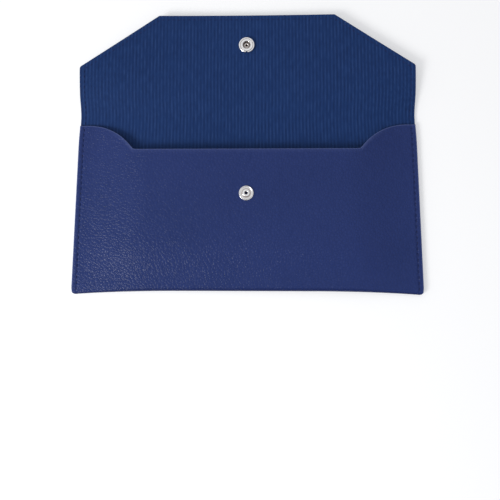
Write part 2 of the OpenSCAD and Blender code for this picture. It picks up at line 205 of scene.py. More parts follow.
# %% Each part of the strip
def on_flap(points):
    """Turns points of the flat flap (x, distance from the fold line, height) by the tilt about the axis."""
    x, d, z = np.moveaxis(np.asarray(points, float), -1, 0)
    c, s = math.cos(flap_tilt), math.sin(flap_tilt)
    return np.stack([x, fold_y + d * c - (z - axis_z) * s, axis_z + d * s + (z - axis_z) * c], axis=-1)


def front_at(x, y, depth):
    """Point under the front's outer face, drawn in with the waist."""
    return np.stack([x * half_width(y - fold_y) / half_w, y, front_z(x, y) - depth], axis=-1)


def bottom_at(x, t, depth):
    """Point of the bottom fold: half a turn about its own axis, at its radius less the depth."""
    r, a = bottom_radius(x), math.pi * (0.5 - t)
    y = bottom_line(x) - (r - depth) * np.cos(a)
    return np.stack([x * half_width(y - fold_y) / half_w, y, r + (r - depth) * np.sin(a)], axis=-1)


def rear_at(x, y, depth):
    """Point of the flat rear, whose outer face lies on the table."""
    return np.stack([x * half_width(y - fold_y) / half_w, y, depth + 0 * y], axis=-1)


def fold_at(x, s, depth):
    """Point of the strip at the fold line: flat before it, then turned a little more with every step."""
    a = flap_tilt * smooth(s / fold_half)
    arm = axis_z - depth
    y = fold_y + s * np.cos(a) + arm * np.sin(a)
    return np.stack([x * half_width(s) / half_w, y, axis_z + s * np.sin(a) - arm * np.cos(a)], axis=-1)


def flap_at(x, d, depth):
    """Point of the flap, whose sides curl towards the pocket with the square of x."""
    curl = flap_curl * (x / flap_half) ** 2 * smooth((d - fold_half) / (flap_side - fold_half))
    return on_flap(np.stack([x, d, depth + curl], axis=-1))


print("tip of the flap at", [round(float(v), 4) for v in flap_at(0.0, flap_len, 0.0)])

# %% The strip as a whole
border, run_end = 6 * mm, 6
steepest, far = 0.9, 1.0


def strip_place(x, run):
    """Place on each part of the strip: y on the front and the rear, s at the fold line, and d on the flap,
    whose last rows keep their distance from its edge."""
    front, rear, fold, panel, last = np.clip(np.stack([run - start for start in (0, 2, 3, 4, 5)]), 0, 1)
    wide = x * flap_half / half_w
    rim = border / np.interp(np.abs(wide), [tip_x, tip_x + tip_r], [1, math.sin(slant)])
    front_y = lip(x) + (bottom_line(x) - lip(x)) * front
    rear_y = bottom_line(x) + (fold_y - fold_half - bottom_line(x)) * rear
    d = fold_half + (flap_reach(wide) - rim - fold_half) * panel + rim * last
    return front_y, rear_y, fold_half * (2 * fold - 1), d


def strip_at(x, run, depth):
    """Point of the strip: front for run 0 to 1, bottom fold to 2, rear to 3, fold line to 4, flap to 6."""
    x, run, depth = np.broadcast_arrays(x, run, depth)
    front_y, rear_y, s, d = strip_place(x, run)
    flap = flap_at(x * half_width(d) / half_w, d, depth)
    parts = [front_at(x, front_y, depth), bottom_at(x, np.clip(run - 1, 0, 1), depth),
             rear_at(x, rear_y, depth), fold_at(x, s, depth)]
    return np.select([(run <= k + 1)[..., None] for k in range(len(parts))], parts, flap)


def strip_gaps(x, run):
    """Distance of a point from the cut edge, and from the straight edges that the stitches follow."""
    front_y, _, _, d = strip_place(x, run)
    slope = np.clip(lip_arc_x - np.abs(x), 0, None) / mouth_r * (np.abs(x) > mouth_w / 2)
    straight_across = np.sqrt(1 - np.clip(slope, 0, steepest) ** 2)
    mouth = np.where(run <= 1, (lip(x) - front_y) * straight_across, far)
    side = half_w - np.abs(x)
    wide = x * half_width(d) / half_w
    edge = np.where(run > 4, flap_edge_gap(wide, d), np.minimum(side, mouth))
    return np.maximum(edge, 0), np.where(run > 4, flap_inset(wide, d), side)


middle_line = strip_at(0.0, np.linspace(0, run_end, 2001), 0.0)

# %% [markdown]
# ## Turning arrays into pieces
# Every piece ends as a mesh at the origin, with its place in its points. Adding points one by one would
# be slow, so whole arrays go into the mesh at once, and then every face is turned outwards.

# %% Mesh helpers
merge_gap = 1e-7


def grid_faces(rows, cols, start=0, around=False):
    """Four-sided faces between neighbouring points of a grid, closed round its columns if asked."""
    index = np.arange(rows * cols).reshape(rows, cols) + start
    if around:
        index = np.concatenate([index, index[:, :1]], axis=1)
    corners = [index[:-1, :-1], index[:-1, 1:], index[1:, 1:], index[1:, :-1]]
    return np.stack(corners, axis=-1).reshape(-1, 4)


def new_object(name, data):
    """Object made from a mesh, a lamp or a camera, and put in the scene."""
    thing = bpy.data.objects.new(name, data)
    bpy.context.scene.collection.objects.link(thing)
    return thing


def new_piece(name, points, faces, material, sharp=40, marks=None):
    """Mesh object from arrays of points and faces, smooth except across edges sharper than an angle. Marks
    are values at every point, kept as attributes that the finish can read."""
    mesh = bpy.data.meshes.new(name)
    mesh.from_pydata(points.reshape(-1, 3).tolist(), [], faces.tolist())
    for key, values in (marks or {}).items():
        shares = np.ravel(values).astype(np.float32)
        mesh.attributes.new(key, "FLOAT", "POINT").data.foreach_set("value", shares)
    shape = bmesh.new()
    shape.from_mesh(mesh)
    bmesh.ops.remove_doubles(shape, verts=shape.verts, dist=merge_gap)
    bmesh.ops.delete(shape, geom=[edge for edge in shape.edges if not edge.link_faces], context="EDGES")
    bmesh.ops.recalc_face_normals(shape, faces=shape.faces)
    shape.to_mesh(mesh)
    shape.free()
    mesh.shade_smooth()
    mesh.set_sharp_from_angle(angle=math.radians(sharp))
    mesh.materials.append(material)
    print(f"{name}: {len(mesh.vertices)} points, {len(mesh.polygons)} faces")
    return new_object(name, mesh)


def thick_sheet(name, outer, inner, material, marks=None):
    """Closed sheet between two grids of points: both faces and a wall round the cut edge."""
    rows, cols = outer.shape[:2]
    count = rows * cols
    index = np.arange(count).reshape(rows, cols)
    rim = np.concatenate([index[0], index[1:, -1], index[-1, -2::-1], index[-2:0:-1, 0]])
    onward = np.roll(rim, -1)
    wall = np.stack([rim, onward, onward + count, rim + count], axis=-1)
    faces = np.concatenate([grid_faces(rows, cols), grid_faces(rows, cols, count)[:, ::-1], wall])
    points = np.concatenate([outer.reshape(-1, 3), inner.reshape(-1, 3)])
    return new_piece(name, points, faces, material, marks=marks)


def sheet_area(points):
    """Area of a grid of points: half the product across the two diagonals of every cell."""
    first, second = points[1:, 1:] - points[:-1, :-1], points[1:, :-1] - points[:-1, 1:]
    return float(np.linalg.norm(np.cross(first, second), axis=-1).sum() / 2)


# %% [markdown]
# ## Shared effects
# Tone that drifts over a hide or a cloth, pebbled grain and fine scratches are not tied to one material.
# Each is a node group with named sockets, built once and placed wherever it is wanted. A painted picture
# could do the same, but nodes stay sharp at any distance and need no file.

# %% Node helpers
def put(tree, kind, settings=None, **inputs):
    """Adds a node, sets its options, and fills or links the sockets given by name, or by number after i."""
    node = tree.nodes.new(kind)
    for key, value in (settings or {}).items():
        setattr(node, key, value)
    for key, value in inputs.items():
        numbered = key[0] == "i" and key[1:].isdigit()
        socket = node.inputs[int(key[1:]) if numbered else key.replace("_", " ")]
        if isinstance(value, bpy.types.NodeSocket):
            tree.links.new(value, socket)
        else:
            socket.default_value = value
    return node


def maths(tree, operation, first, second=0.0, clamp=False):
    """Output of a Math node on two values or sockets."""
    settings = {"operation": operation, "use_clamp": clamp}
    return put(tree, "ShaderNodeMath", settings, i0=first, i1=second).outputs[0]


def between(value, low, high, from_low=0.0, from_high=1.0):
    """Value carried from one range to another."""
    ranges = {"From_Min": from_low, "From_Max": from_high, "To_Min": low, "To_Max": high}
    return put(value.id_data, "ShaderNodeMapRange", Value=value, **ranges).outputs[0]


def times(first, second, clamp=False):
    """Product of a socket and a value or socket."""
    return maths(first.id_data, "MULTIPLY", first, second, clamp)


def noise(place, scale, detail=2.0):
    """Outputs of a Noise Texture node."""
    return put(place.id_data, "ShaderNodeTexNoise", Vector=place, Scale=scale, Detail=detail).outputs


def feed(node, socket, value):
    """Links a value to a socket of a node in the same tree."""
    node.id_data.links.new(value, node.inputs[socket])


def new_group(name, size_name, size, outputs):
    """Node group that takes a size. Gives the group, the place on the object, how often the size goes into a
    metre, and the output node."""
    group = bpy.data.node_groups.new(name, "ShaderNodeTree")
    sockets = group.interface
    sockets.new_socket(name=size_name, in_out="INPUT", socket_type="NodeSocketFloat").default_value = size
    for key in outputs:
        sockets.new_socket(name=key, in_out="OUTPUT", socket_type="NodeSocketFloat")
    place = put(group, "ShaderNodeTexCoord").outputs["Object"]
    per_metre = maths(group, "DIVIDE", 1.0, put(group, "NodeGroupInput").outputs[size_name])
    print("group", name, "gives", outputs)
    return group, place, per_metre, put(group, "NodeGroupOutput")


# %% Drifting tone
mottles_per_patch = 14.0
tone, place, per_metre, result = new_group("drifting_tone", "Patch size", 40 * mm, ["Patches", "Mottle"])
feed(result, "Patches", noise(place, per_metre)["Fac"])
feed(result, "Mottle", noise(place, times(per_metre, mottles_per_patch), 3.0)["Fac"])

# %% Pebbled grain
wobbles_per_pebble, wobble_reach, pores_per_pebble = 0.7, 0.7 * mm, 4.0
roundness, crease_width = 0.35, 0.16
dome_share, pore_share, crease_share = 0.6, 0.15, 0.35
grain, place, per_metre, result = new_group("pebbled_grain", "Pebble size", 1.5 * mm, ["Height", "Creases"])
wobble = noise(place, times(per_metre, wobbles_per_pebble))["Color"]
shift = put(grain, "ShaderNodeVectorMath", {"operation": "SCALE"}, i0=wobble, Scale=wobble_reach).outputs[0]
moved = put(grain, "ShaderNodeVectorMath", {"operation": "ADD"}, i0=place, i1=shift).outputs[0]
cells = put(grain, "ShaderNodeTexVoronoi", {"feature": "SMOOTH_F1"}, Vector=moved, Scale=per_metre,
            Smoothness=roundness)
edges = put(grain, "ShaderNodeTexVoronoi", {"feature": "DISTANCE_TO_EDGE"}, Vector=moved, Scale=per_metre)
crease = between(edges.outputs["Distance"], 1, 0, 0, crease_width)
dome = maths(grain, "SUBTRACT", 1.0, cells.outputs["Distance"])
pores = noise(place, times(per_metre, pores_per_pebble))["Fac"]
height = maths(grain, "ADD", times(dome, dome_share), times(pores, pore_share))
feed(result, "Height", maths(grain, "SUBTRACT", height, times(crease, crease_share)))
feed(result, "Creases", crease)

# %% Fine scratches
hazes_per_scratch, scratch_turn, scratch_stretch = 0.3, (0.4, 0.3, 0.6), (1.0, 9.0, 1.0)
outputs = ["Scratches", "Haze"]
scuff, place, per_metre, result = new_group("fine_scratches", "Scratch size", 0.6 * mm, outputs)
stretched = put(scuff, "ShaderNodeMapping", Vector=place, Rotation=scratch_turn, Scale=scratch_stretch)
lines = noise(stretched.outputs[0], per_metre, 4.0)["Fac"]
feed(result, "Scratches", between(lines, 0, 1, 0.55, 0.75))
feed(result, "Haze", noise(place, times(per_metre, hazes_per_scratch))["Fac"])

# %% [markdown]
# ## Leather
# The leather is dyed navy, pebbled and pressed smooth, with a satin top coat: its sheen comes from the
# shader and the lamp, while the grain breaks it up. The colour is darker along the stitch groove, and
# painted shade darkens it round the bottom fold. The raw cut edge is a lighter, dull blue. A painted mask
# could say where, but attributes on the sheet's own points do so without a picture.

# %% Material helpers
def new_material(name, **inputs):
    """Material with a Principled shader whose sockets take the values given by keyword."""
    material = bpy.data.materials.new(name)
    material.use_nodes = True
    tree = material.node_tree
    shader = tree.nodes["Principled BSDF"]
    for key, value in inputs.items():
        shader.inputs[key.replace("_", " ")].default_value = value
    print("material", name)
    return material, tree, shader


def use_group(tree, group, **values):
    """Places a shared effect in a material with its own values."""
    return put(tree, "ShaderNodeGroup", {"node_tree": group}, **values).outputs


def mix_colour(share, first, second, blend="MIX"):
    """Colour between two colours or sockets by a share."""
    settings = {"data_type": "RGBA", "blend_type": blend}
    return put(share.id_data, "ShaderNodeMix", settings, i0=share, i6=first, i7=second).outputs[2]


def mark_of(tree, name):
    """One of the marks that are kept with a piece's points."""
    return put(tree, "ShaderNodeAttribute", {"attribute_name": name}).outputs["Fac"]


def bump(shader, height, strength, distance):
    """Lets a height between 0 and 1 tilt the surface, as if it stood up by a distance."""
    relief = put(shader.id_data, "ShaderNodeBump", Strength=strength, Distance=distance, Height=height)
    feed(shader, "Normal", relief.outputs[0])


# %% Leather finish
deep_navy, navy = (0.0135, 0.0290, 0.125, 1), (0.0165, 0.0330, 0.140, 1)
pale_navy, dark_navy = (0.022, 0.041, 0.160, 1), (0.008, 0.016, 0.080, 1)
raw_blue, raw_dull = (0.085, 0.115, 0.27, 1), (0.7, 0.7, 0.7, 1)
crease_dye, darkening_strength = 0.22, 0.8
patch_range = 0.3, 0.7
leather, tree, shader = new_material("navy_leather", Specular_IOR_Level=0.17)
pebbles = use_group(tree, grain, Pebble_size=1.5 * mm)
drift = use_group(tree, tone, Patch_size=50 * mm)
dye = mix_colour(between(drift["Patches"], 0, 1, *patch_range), deep_navy, navy)
dye = mix_colour(between(drift["Mottle"], 0, 0.35, 0.35, 0.75), dye, pale_navy)
dye = mix_colour(times(pebbles["Creases"], crease_dye), dye, dark_navy)
# Darker along the stitch groove, and painted shade round the bottom fold
dye = mix_colour(times(mark_of(tree, "dark_dye"), darkening_strength), dye, dark_navy)
raw_edge = mark_of(tree, "cut_edge")
feed(shader, "Base Color", mix_colour(raw_edge, dye, raw_blue))
satin = between(pebbles["Height"], 0.30, 0.15, 0.2, 0.8)
feed(shader, "Roughness", mix_colour(raw_edge, satin, raw_dull))
bump(shader, pebbles["Height"], 1.0, 0.18 * mm)

# %% [markdown]
# ## The leather strip
# One sheet makes the front, the bottom fold, the rear and the flap, as on the real wallet. Its outer face
# is pressed into a shallow groove along the stitch lines and rounded at the cut edge, so the grid has
# narrow rows and columns there and wide ones elsewhere. A fine grid all over would do too, but with many
# more faces. At the fold line the sheet turns smoothly from the rear to the flap, because real leather bends
# there.

# %% Rows and columns of the leather
stitch_inset, groove_half, edge_r, lip_corner_half = 2.6 * mm, 0.9 * mm, 0.3 * mm, 2 * mm
edge_cuts, flat_cuts, groove_cuts, lip_cuts = 5, 4, 9, 9
middle_columns, side_columns = 24, 16
front_start, front_rows, later_rows = 0.008, 40, (17, 28, 33, 24)


def part_rows(first, *counts):
    """Run values of rows spread evenly over one part of the strip after the other."""
    return np.concatenate([np.linspace(k, k + 1, count)[1:] for k, count in enumerate(counts, first)])


edge_steps = np.concatenate([
    edge_r * (1 - np.cos(np.linspace(0, np.pi / 2, edge_cuts))),
    np.linspace(edge_r, stitch_inset - groove_half, flat_cuts)[1:],
    stitch_inset + groove_half * np.linspace(-1, 1, groove_cuts)[1:],
    np.linspace(stitch_inset + groove_half, border, flat_cuts)[1:]])
lip_corner = mouth_w / 2 + lip_corner_half * np.linspace(-1, 1, lip_cuts)
half_columns = np.concatenate([
    np.linspace(0, lip_corner[0], middle_columns), lip_corner[1:],
    np.linspace(lip_corner[-1], half_w - border, side_columns)[1:], half_w - edge_steps[-2::-1]])
leather_x = np.concatenate([-half_columns[:0:-1], half_columns])[None, :]
front_h = lip_y + pouch_h - fold_y
leather_run = np.concatenate([
    edge_steps[:edge_cuts] / front_h, np.linspace(front_start, 1, front_rows),
    part_rows(1, *later_rows), run_end - edge_steps[-2::-1] / border])[:, None]
print(f"{leather_run.size} rows of {leather_x.size} points")

# %% Groove, round edge, darker groove and painted fold shade
groove_deep, groove_lost, groove_darkening, raw_width, hair = 0.2 * mm, 0.8, 0.35, 0.7 * mm, 1e-6
bottom_part, fold_part, fold_shade_part = (0.96, 2.04, 0.04), (3, 4, 0.25), (0.98, 2.1, 0.25)


def along_run(start, end, ramp):
    """1 along a part of the leather's run, with a smooth step from 0 at each end of it."""
    return smooth((leather_run - start) / ramp) * smooth((end - leather_run) / ramp)


edge_gap, stitch_gap = strip_gaps(*np.broadcast_arrays(leather_x, leather_run))
on_line = 0.5 + 0.5 * np.cos(np.pi * np.clip((stitch_gap - stitch_inset) / groove_half, -1, 1))
at_folds = np.maximum(along_run(*bottom_part), along_run(*fold_part))
pressed = groove_deep * on_line * (1 - groove_lost * at_folds)
round_off = np.clip(edge_r - edge_gap, 0, edge_r)
outer_depth = pressed + edge_r - np.sqrt(edge_r ** 2 - round_off ** 2)
# Darker along the stitch groove, and painted shade over the bottom fold where less light reaches
groove_and_fold_darkening = np.maximum(groove_darkening * on_line, along_run(*fold_shade_part))
raw_outside, raw_inside = np.clip(1 - edge_gap / raw_width, 0, 1), edge_gap < hair
print(f"groove {1000 * pressed.max():.2f} mm deep")

# %% Leather strip
bend_half = 2.5 * mm
leather_marks = {"cut_edge": [raw_outside, raw_inside], "dark_dye": [groove_and_fold_darkening, 0 * groove_and_fold_darkening]}
leather_outer = strip_at(leather_x, leather_run, outer_depth)
leather_inner = strip_at(leather_x, leather_run, leather_t)
leather_sheet = thick_sheet("leather_strip", leather_outer, leather_inner, leather, leather_marks)
leather_area = sheet_area(strip_at(leather_x, leather_run, 0.5 * leather_t))
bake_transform(leather_sheet)
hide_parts("rear_panel", "bottom_fold", "front_panel", "fold_leather", "flap_panel")
print(f"leather of {1e4 * leather_area:.0f} square cm")

# %% [markdown]
# ## Lining cloth
# The lining is a thin cloth woven with fine ribs from the bottom to the top. Bump alone would leave it
# flat, so the ribs are real ridges, a cosine across the sheet, that catch the light. The finer weave is
# left to the finish, which follows the cloth by its own UV map, laid out in metres.

# %% Lining finish
rib_pitch, pick_pitch, streaks_per_metre = 2.0 * mm, 0.45 * mm, (900, 160, 1)
deep_yarn, yarn_blue = (0.0057, 0.0275, 0.112, 1), (0.0076, 0.0320, 0.126, 1)
pale_yarn = (0.013, 0.044, 0.157, 1)
# Painted shade colour for the rib valleys and painted highlight colour for the rib crests
valley_shade_blue, crest_highlight_blue = (0.003, 0.014, 0.062, 1), (0.020, 0.054, 0.175, 1)
lining, tree, shader = new_material("ribbed_lining", Specular_IOR_Level=0.13, Sheen_Weight=0.04,
                                    Sheen_Roughness=0.5)
cloth_uv = put(tree, "ShaderNodeUVMap", {"uv_map": "cloth"}).outputs[0]
split = put(tree, "ShaderNodeSeparateXYZ", Vector=cloth_uv).outputs
ribs = maths(tree, "COSINE", times(split["X"], 2 * math.pi / rib_pitch))
picks = maths(tree, "SINE", times(split["Y"], 2 * math.pi / pick_pitch))
drift = use_group(tree, tone, Patch_size=60 * mm)
yarn = mix_colour(between(drift["Patches"], 0, 1, *patch_range), deep_yarn, yarn_blue)
yarn = mix_colour(between(drift["Mottle"], 0, 0.4, 0.4, 0.8), yarn, pale_yarn)
stretched = put(tree, "ShaderNodeMapping", Vector=cloth_uv, Scale=streaks_per_metre).outputs[0]
streaks = noise(stretched, 1.0)["Fac"]
dark_streaks = between(streaks, 0.1, 0.6, 0.3, 0.7)
pale_streaks = between(streaks, 0.7, 0, 0.35, 0.6)
# Painted shade in the rib valleys and painted highlights on the crests, broken up by streaks
painted_valley_shade = times(between(ribs, 1, 0, -1, 0.6), dark_streaks)
yarn = mix_colour(painted_valley_shade, yarn, valley_shade_blue)
painted_crest_highlight = times(between(ribs, 0, 1, 0.2, 1), pale_streaks)
feed(shader, "Base Color", mix_colour(painted_crest_highlight, yarn, crest_highlight_blue))
feed(shader, "Roughness", between(drift["Mottle"], 0.55, 0.7))
weave = maths(tree, "ADD", times(picks, 0.5), streaks)
bump(shader, weave, 0.5, 0.04 * mm)

# %% Lining sheet
rib_height, points_per_rib, first_rows, later_rows = 0.06 * mm, 4, 20, (9, 16, 25, 18, 5)
rib_count = round(2 * half_w / rib_pitch)
lining_x = np.linspace(-half_w, half_w, points_per_rib * rib_count + 1)[None, :]
lining_run = np.concatenate([np.linspace(0, 1, first_rows), part_rows(1, *later_rows)])[:, None]
ridge = rib_height * (0.5 + 0.5 * np.cos(2 * np.pi * lining_x / rib_pitch))
seen = strip_at(lining_x, lining_run, panel_t - rib_height + ridge)
hidden = strip_at(lining_x, lining_run, lining_z)
lining_sheet = thick_sheet("lining_cloth", seen, hidden, lining)
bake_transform(lining_sheet)
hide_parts("rear_lining", "front_lining", "fold_lining", "flap_lining")

# %% Lining laid out flat
row_steps = np.linalg.norm(np.diff(seen[:, lining_x.size // 2], axis=0), axis=-1)
along = np.concatenate([[0], np.cumsum(row_steps)])
flat = np.stack(np.broadcast_arrays(lining_x, along[:, None]), axis=-1).reshape(-1, 2)
loop_points = np.zeros(len(lining_sheet.data.loops), dtype=np.int32)
lining_sheet.data.loops.foreach_get("vertex_index", loop_points)
cloth = lining_sheet.data.uv_layers.new(name="cloth")
cloth.data.foreach_set("uv", np.concatenate([flat, flat])[loop_points].astype(np.float32).ravel())
print(f"cloth map {1000 * along[-1]:.1f} mm long")

# %% [markdown]
# ## Stitching
# A lockstitch shows a dash of thread between each pair of needle holes. A curve with a bevel would do for
# one dash, but not for hundreds, so whole rows are worked out as one array: short tubes that rise out of
# the groove and dive back into it, bent by the same strip function as the leather.

# %% Thread finish
dark_thread, pale_thread = (0.008, 0.016, 0.075, 1), (0.013, 0.026, 0.115, 1)
thread, tree, shader = new_material("navy_thread", Specular_IOR_Level=0.2, Sheen_Weight=0.05)
drift = use_group(tree, tone, Patch_size=4 * mm)
feed(shader, "Base Color", mix_colour(drift["Mottle"], dark_thread, pale_thread))
feed(shader, "Roughness", between(drift["Patches"], 0.6, 0.8))
bump(shader, drift["Mottle"], 0.5, 0.03 * mm)

# %% Rows of stitches
stitch_pitch, stitch_show = 3.15 * mm, 2.4 * mm
thread_sides, thread_rings, thinnest, probe = 6, 7, 0.04, 0.1 * mm


def dashes(start, end, pitch=stitch_pitch):
    """Both ends of every stitch between two points of a flat sheet, spread evenly, as an array of pairs."""
    start, end = np.asarray(start, float), np.asarray(end, float)
    count = max(1, round(np.linalg.norm(end - start) / pitch))
    gap = (1 - stitch_show / stitch_pitch) / 2
    share = (np.arange(count)[:, None] + [gap, 1 - gap]) / count
    return start + (end - start) * share[..., None]


def unit(vectors):
    """Vectors brought to length one."""
    return vectors / np.linalg.norm(vectors, axis=-1, keepdims=True)


def stitch_row(name, pairs, place, diameter, under, top):
    """Tubes along pairs of points that place(x, y, depth) lays on the sheet. Each tube starts at the depth
    under, arches to the depth top by the root of a sine, and narrows to both ends."""
    t = np.linspace(0, 1, thread_rings)
    x, y = np.moveaxis(pairs[:, :1] + (pairs[:, 1:] - pairs[:, :1]) * t[None, :, None], -1, 0)
    depth = under + (top - under) * np.sqrt(np.sin(np.pi * t))[None, :]
    centre = place(x, y, depth)
    lift = unit(place(x, y, depth - probe) - centre)
    side = unit(np.cross(np.gradient(centre, axis=1), lift))
    radius = diameter / 2 * np.sqrt(np.maximum(1 - (2 * t - 1) ** 4, thinnest))[None, :, None, None]
    a = np.linspace(0, 2 * np.pi, thread_sides, endpoint=False)[None, None, :, None]
    rings = centre[:, :, None] + radius * (np.cos(a) * side[:, :, None] + np.sin(a) * lift[:, :, None])
    size = thread_rings * thread_sides
    tube = grid_faces(thread_rings, thread_sides, around=True)
    ends = np.array([[0, 1, 2, 3], [0, 3, 4, 5]])
    one = np.concatenate([tube, ends, ends[:, ::-1] + size - thread_sides])
    faces = (one[None] + np.arange(len(pairs))[:, None, None] * size).reshape(-1, 4)
    piece = new_piece(name, rings, faces, thread, sharp=60)
    return piece


# %% Side seams
needle = {"diameter": 0.5 * mm, "under": 0.45 * mm, "top": 0.02 * mm}
bobbin = {"diameter": 0.34 * mm, "under": 0.4 * mm, "top": 0.17 * mm}
first_hole, last_hole = 0.35 * mm, 1 * mm
stitch_x = half_w - stitch_inset
seam_from, seam_to = bottom_line(half_w) + first_hole, lip_top - last_hole
for side, sign in (("left", -1), ("right", 1)):
    seam = dashes([sign * stitch_x, seam_from], [sign * stitch_x, seam_to])
    row = stitch_row(f"{side}_seam_stitches", seam, front_at, **needle)
    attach(row, "pouch")
    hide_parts(f"{side}_seam_thread")
    seam = dashes([sign * stitch_x, seam_from], [sign * stitch_x, fold_y - bend_half])
    row = stitch_row(f"{side}_rear_stitches", seam, rear_at, **bobbin)
    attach(row, "pouch")
    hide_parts(f"{side}_seam_bobbin")

# %% [markdown]
# Round the flap the stitch line keeps its distance from the edges. Each straight length gets a whole
# number of stitches, because a sewer turns the work with the needle down at a corner. The bobbin thread
# shows on the lining side, so its depth counts from that face.

# %% Stitches round the flap
lining_bobbin = {"diameter": 0.34 * mm, "under": 0.3 * mm, "top": -0.08 * mm}
flap_x, line_reach = flap_half - stitch_inset, slant_reach - stitch_inset
flap_turn = (line_reach - flap_x * math.cos(slant)) / math.sin(slant)
tip_line = flap_len - stitch_inset
tip_turn = (line_reach - tip_line * math.sin(slant)) / math.cos(slant)
left_turns = [[-flap_x, bend_half], [-flap_x, flap_turn], [-tip_turn, tip_line]]
turns = left_turns + [[-x, d] for x, d in reversed(left_turns)]
flap_line = np.concatenate([dashes(a, b) for a, b in zip(turns[:-1], turns[1:])])


def flap_line_at(x, d, depth):
    """Point of the stitch line on the flap, which follows the sheet's waist near the fold."""
    near = half_width(d) - stitch_inset
    beside_fold = fold_at(np.sign(x) * near, d, depth)
    on_panel = flap_at(np.where(np.abs(x) > near, np.sign(x) * near, x), d, depth)
    return np.where((d < fold_half)[..., None], beside_fold, on_panel)


def inside(place):
    """The same place with its depth counted from the lining's face."""
    return lambda x, d, depth: place(x, d, panel_t - depth)


flap_row = stitch_row("flap_stitches", flap_line, flap_line_at, **needle)
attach(flap_row, "flap")
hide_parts("flap_thread")
under_row = stitch_row("flap_under_stitches", flap_line, inside(flap_line_at), **lining_bobbin)
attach(under_row, "flap")
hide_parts("flap_bobbin")

# %% [markdown]
# At the fold line the outer face stretches to more than three times its length when the flap closes, because
# the solids turn about one axis. Real leather has that length already, so the stitches there are
# drawn short on the open wallet.

# %% Stitches across the fold
fold_needle = {"diameter": 0.3 * mm, "under": 0.4 * mm, "top": 0.16 * mm}
inner_from = -3.6 * mm
stretch = math.pi * axis_z / (2 * bend_half)
for side, sign in (("left", -1), ("right", 1)):
    seam = dashes([sign * stitch_x, -bend_half], [sign * stitch_x, bend_half], stitch_pitch / stretch)
    row = stitch_row(f"{side}_fold_stitches", seam, fold_at, **fold_needle)
    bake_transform(row)
    seam = dashes([sign * stitch_x, inner_from], [sign * stitch_x, bend_half])
    row = stitch_row(f"{side}_inner_fold_stitches", seam, inside(fold_at), **lining_bobbin)
    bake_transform(row)

# %% [markdown]
# ## Press fastener
# The fastener's parts are pressed from thin sheet metal and plated bright. In their hollows the plate is
# worn, and bare brass shows brown; the deepest gaps of the rivet are painted black as shade. A painted
# mask could place it, but a mark on the points can follow the radius.

# %% Bright plate and spring wire
# Bare brass is brown; the black is painted shade for the deepest gaps
brown_brass, black_painted_shade = (0.26, 0.19, 0.145, 1), (0.02, 0.015, 0.012, 1)
haze_dulls, scratch_dulls, brass_dulls = 0.1, 0.18, 0.2


def plated(name, bright, dull, roughness):
    """Metal finish: a plate colour that dulls in patches, with fine scratches that roughen it. As the mark
    rises to 1 the plate turns brown with bare brass, and from there to 2 black with painted shade."""
    material, tree, shader = new_material(name, Metallic=1.0)
    marks = use_group(tree, scuff, Scratch_size=0.6 * mm)
    plate = mix_colour(between(marks["Haze"], 0, 1, 0.35, 0.7), bright, dull)
    worn_brass_and_shade = mark_of(tree, "bare_brass")
    plate = mix_colour(between(worn_brass_and_shade, 0, 1), plate, brown_brass)
    # Marks above 1 paint black shade into the deepest gaps
    plate = mix_colour(between(worn_brass_and_shade, 0, 1, 1, 2), plate, black_painted_shade)
    feed(shader, "Base Color", plate)
    hazy = between(marks["Haze"], roughness, roughness + haze_dulls)
    rough = maths(tree, "ADD", hazy, times(marks["Scratches"], scratch_dulls))
    feed(shader, "Roughness", maths(tree, "ADD", rough, times(worn_brass_and_shade, brass_dulls, True)))
    bump(shader, marks["Scratches"], 0.12, 0.02 * mm)
    return material


nickel = plated("bright_nickel", (0.88, 0.88, 0.885, 1), (0.78, 0.78, 0.785, 1), 0.12)
steel = plated("spring_steel", (0.34, 0.30, 0.28, 1), (0.22, 0.195, 0.18, 1), 0.28)

# %% [markdown]
# All the parts are round about one axis. A Screw modifier could turn a drawn profile, but a small
# function does it from radii and heights, and lets a notch or a mark depend on the angle and the radius.

# %% Turning a profile
lathe_sides, lathe_sharp = 96, 35
notch_half, notch_soft, notch_from, notch_run = 0.07, 0.05, 3.9 * mm, 0.5 * mm


def arc(cx, cz, r, start, end, steps=8):
    """Points of an arc about (cx, cz), with angles in degrees."""
    a = np.radians(np.linspace(start, end, steps + 1))
    return np.stack([cx + r * np.cos(a), cz + r * np.sin(a)], axis=-1)


def outline(*parts):
    """One profile of (radius, height) from points and arcs in millimetres."""
    return np.concatenate([np.atleast_2d(np.asarray(p, float)) for p in parts]) * mm


def lathe(name, points, place, worn_brass_and_shade):
    """Nickel piece from a closed profile turned once round, with its last point joined to its first."""
    rows = len(points)
    closing = grid_faces(2, lathe_sides, around=True)
    closing = np.where(closing >= lathe_sides, closing - lathe_sides, closing + (rows - 1) * lathe_sides)
    faces = np.concatenate([grid_faces(rows, lathe_sides, around=True), closing])
    piece = new_piece(name, place(points), faces, nickel, lathe_sharp, {"bare_brass": worn_brass_and_shade})
    return piece


def turned(name, profile, place, notch=0.0, tarnish=None):
    """Closed profile turned once round its axis and placed. A notch cuts that far into the outer rim on one
    side, and tarnish gives the mark of bare brass at each radius and height in millimetres."""
    a = np.linspace(0, 2 * np.pi, lathe_sides, endpoint=False) - np.pi / 2
    r, z = profile[:, :1], profile[:, 1:]
    off = np.abs((a + np.pi / 2 + np.pi) % (2 * np.pi) - np.pi)
    bite = notch * (1 - smooth((off - notch_half) / notch_soft)) * smooth((r - notch_from) / notch_run)
    points = np.stack([(r - bite) * np.cos(a), (r - bite) * np.sin(a), z + 0 * a], axis=-1)
    worn_brass_and_shade = tarnish(r / mm, z / mm) if tarnish else 0 * r
    return lathe(name, points, place, worn_brass_and_shade + 0 * a)


# %% Places of the fastener
snap_dist, bed = 44 * mm, 0.05 * mm
snap_y = fold_y - snap_dist


